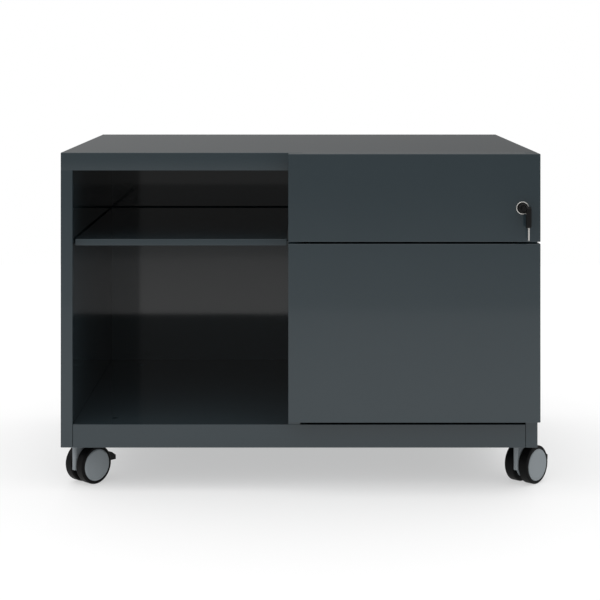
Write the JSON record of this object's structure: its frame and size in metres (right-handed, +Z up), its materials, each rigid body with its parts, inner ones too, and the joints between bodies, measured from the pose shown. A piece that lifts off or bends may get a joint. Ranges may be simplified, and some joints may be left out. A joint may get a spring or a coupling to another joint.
{
  "type": "rolling pedestal cabinet",
  "caption": "Low steel caddy on twin-wheel casters with an open shelf bay beside a lockable box drawer over a filing drawer.",
  "frame": {"origin": "on the floor below the middle of the carcass", "axes": "+X to the viewer's right along the front, -Y out of the front, +Z up"},
  "size_m": [0.8329, 0.6209, 0.569],
  "materials": {
    "anthracite_paint": "semi-gloss powder coat",
    "zinc_steel": "zinc plated",
    "chrome": "bright nickel",
    "cast_iron": "raw",
    "grey_plastic": "satin moulded",
    "black_nylon": "satin moulded",
    "black_plastic": "satin moulded"
  },
  "bodies": {
    "carcass": {"left_side_panel": "anthracite_paint", "right_side_panel": "anthracite_paint", "carcass_top": "anthracite_paint", "top_soffit": "anthracite_paint", "left_side_liner": "anthracite_paint", "right_side_liner": "anthracite_paint", "base_pan": "anthracite_paint", "back_panel": "anthracite_paint", "centre_partition": "anthracite_paint", "shelf": "anthracite_paint", "shelf_clips": "zinc_steel", "caster_channels": "anthracite_paint", "counterweight": "cast_iron", "slide_cabinet_members": "zinc_steel", "caster_stems": "zinc_steel"},
    "box_drawer": {"box_drawer_tray": "anthracite_paint", "box_drawer_front": "anthracite_paint", "box_front_backing": "anthracite_paint", "box_slide_drawer_members": "zinc_steel", "lock_housing": "chrome"},
    "box_slide_middle": {"box_slide_middle_members": "zinc_steel"},
    "file_drawer": {"file_drawer_tray": "anthracite_paint", "file_drawer_front": "anthracite_paint", "file_front_backing": "anthracite_paint", "file_slide_drawer_members": "zinc_steel", "file_hanger_rails": "zinc_steel"},
    "file_slide_middle": {"file_slide_middle_members": "zinc_steel"},
    "lock_plug_and_key": {"lock_plug": "chrome", "lock_crank": "chrome", "key_collar": "black_plastic"},
    "key_grip_and_blade": {"key_grip": "black_plastic", "key_blade": "chrome"},
    "lock_bar": {"lock_bar": "zinc_steel"},
    "front_left_caster": {"front_left_caster_housing": "grey_plastic", "front_left_caster_axle": "zinc_steel"},
    "front_left_caster_near_wheel": {"front_left_caster_near_wheel": "black_nylon", "front_left_caster_near_hub_cap": "grey_plastic"},
    "front_left_caster_far_wheel": {"front_left_caster_far_wheel": "black_nylon", "front_left_caster_far_hub_cap": "grey_plastic"},
    "front_left_caster_brake": {"front_left_caster_brake": "black_plastic"},
    "front_right_caster": {"front_right_caster_housing": "grey_plastic", "front_right_caster_axle": "zinc_steel"},
    "front_right_caster_near_wheel": {"front_right_caster_near_wheel": "black_nylon", "front_right_caster_near_hub_cap": "grey_plastic"},
    "front_right_caster_far_wheel": {"front_right_caster_far_wheel": "black_nylon", "front_right_caster_far_hub_cap": "grey_plastic"},
    "front_right_caster_brake": {"front_right_caster_brake": "black_plastic"},
    "rear_left_caster": {"rear_left_caster_housing": "grey_plastic", "rear_left_caster_axle": "zinc_steel"},
    "rear_left_caster_near_wheel": {"rear_left_caster_near_wheel": "black_nylon", "rear_left_caster_near_hub_cap": "grey_plastic"},
    "rear_left_caster_far_wheel": {"rear_left_caster_far_wheel": "black_nylon", "rear_left_caster_far_hub_cap": "grey_plastic"},
    "rear_right_caster": {"rear_right_caster_housing": "grey_plastic", "rear_right_caster_axle": "zinc_steel"},
    "rear_right_caster_near_wheel": {"rear_right_caster_near_wheel": "black_nylon", "rear_right_caster_near_hub_cap": "grey_plastic"},
    "rear_right_caster_far_wheel": {"rear_right_caster_far_wheel": "black_nylon", "rear_right_caster_far_hub_cap": "grey_plastic"}
  },
  "joints": [
    {"name": "box_drawer_slide", "type": "slide", "parent": "carcass", "child": "box_drawer", "axis": [0, -1, 0], "range_m": [0, 0.48]},
    {"name": "box_slide_middle_slide", "type": "slide", "parent": "carcass", "child": "box_slide_middle", "axis": [0, -1, 0], "range_m": [0, 0.24]},
    {"name": "file_drawer_slide", "type": "slide", "parent": "carcass", "child": "file_drawer", "axis": [0, -1, 0], "range_m": [0, 0.48]},
    {"name": "file_slide_middle_slide", "type": "slide", "parent": "carcass", "child": "file_slide_middle", "axis": [0, -1, 0], "range_m": [0, 0.24]},
    {"name": "lock_turn", "type": "hinge", "parent": "box_drawer", "child": "lock_plug_and_key", "pos_m": [0.37, -0.3155, 0.4795], "axis": [0, -1, 0], "range_deg": [0, 90]},
    {"name": "key_grip_fold", "type": "hinge", "parent": "lock_plug_and_key", "child": "key_grip_and_blade", "pos_m": [0.3779, -0.3307, 0.4795], "axis": [1, 0, 0], "range_deg": [-90, 0]},
    {"name": "lock_bar_lift", "type": "slide", "parent": "carcass", "child": "lock_bar", "axis": [0, 0, 1], "range_m": [0, 0.0084]},
    {"name": "front_left_caster_swivel", "type": "hinge", "parent": "carcass", "child": "front_left_caster", "pos_m": [-0.376, -0.2335, 0.07], "axis": [0, 0, 1], "continuous": true},
    {"name": "front_left_caster_near_wheel_spin", "type": "hinge", "parent": "front_left_caster", "child": "front_left_caster_near_wheel", "pos_m": [-0.36201, -0.21824, 0.0325], "axis": [0.7373, -0.6756, 0], "continuous": true},
    {"name": "front_left_caster_far_wheel_spin", "type": "hinge", "parent": "front_left_caster", "child": "front_left_caster_far_wheel", "pos_m": [-0.36201, -0.21824, 0.0325], "axis": [0.7373, -0.6756, 0], "continuous": true},
    {"name": "front_left_caster_brake_press", "type": "hinge", "parent": "front_left_caster", "child": "front_left_caster_brake", "pos_m": [-0.35053, -0.2057, 0.036], "axis": [-0.7373, 0.6756, 0], "range_deg": [0, 12]},
    {"name": "front_right_caster_swivel", "type": "hinge", "parent": "carcass", "child": "front_right_caster", "pos_m": [0.376, -0.2335, 0.07], "axis": [0, 0, 1], "continuous": true},
    {"name": "front_right_caster_near_wheel_spin", "type": "hinge", "parent": "front_right_caster", "child": "front_right_caster_near_wheel", "pos_m": [0.38999, -0.21824, 0.0325], "axis": [0.7373, -0.6756, 0], "continuous": true},
    {"name": "front_right_caster_far_wheel_spin", "type": "hinge", "parent": "front_right_caster", "child": "front_right_caster_far_wheel", "pos_m": [0.38999, -0.21824, 0.0325], "axis": [0.7373, -0.6756, 0], "continuous": true},
    {"name": "front_right_caster_brake_press", "type": "hinge", "parent": "front_right_caster", "child": "front_right_caster_brake", "pos_m": [0.40147, -0.2057, 0.036], "axis": [-0.7373, 0.6756, 0], "range_deg": [0, 12]},
    {"name": "rear_left_caster_swivel", "type": "hinge", "parent": "carcass", "child": "rear_left_caster", "pos_m": [-0.376, 0.2165, 0.07], "axis": [0, 0, 1], "continuous": true},
    {"name": "rear_left_caster_near_wheel_spin", "type": "hinge", "parent": "rear_left_caster", "child": "rear_left_caster_near_wheel", "pos_m": [-0.36201, 0.23176, 0.0325], "axis": [0.7373, -0.6756, 0], "continuous": true},
    {"name": "rear_left_caster_far_wheel_spin", "type": "hinge", "parent": "rear_left_caster", "child": "rear_left_caster_far_wheel", "pos_m": [-0.36201, 0.23176, 0.0325], "axis": [0.7373, -0.6756, 0], "continuous": true},
    {"name": "rear_right_caster_swivel", "type": "hinge", "parent": "carcass", "child": "rear_right_caster", "pos_m": [0.376, 0.2165, 0.07], "axis": [0, 0, 1], "continuous": true},
    {"name": "rear_right_caster_near_wheel_spin", "type": "hinge", "parent": "rear_right_caster", "child": "rear_right_caster_near_wheel", "pos_m": [0.38999, 0.23176, 0.0325], "axis": [0.7373, -0.6756, 0], "continuous": true},
    {"name": "rear_right_caster_far_wheel_spin", "type": "hinge", "parent": "rear_right_caster", "child": "rear_right_caster_far_wheel", "pos_m": [0.38999, 0.23176, 0.0325], "axis": [0.7373, -0.6756, 0], "continuous": true}
  ],
  "couplings": [
    {"joint": "box_slide_middle_slide", "follows": "box_drawer_slide", "ratio": 0.5},
    {"joint": "file_slide_middle_slide", "follows": "file_drawer_slide", "ratio": 0.5},
    {"joint": "lock_turn", "follows": "lock_bar_lift", "rad_per_m": 187}
  ]
}
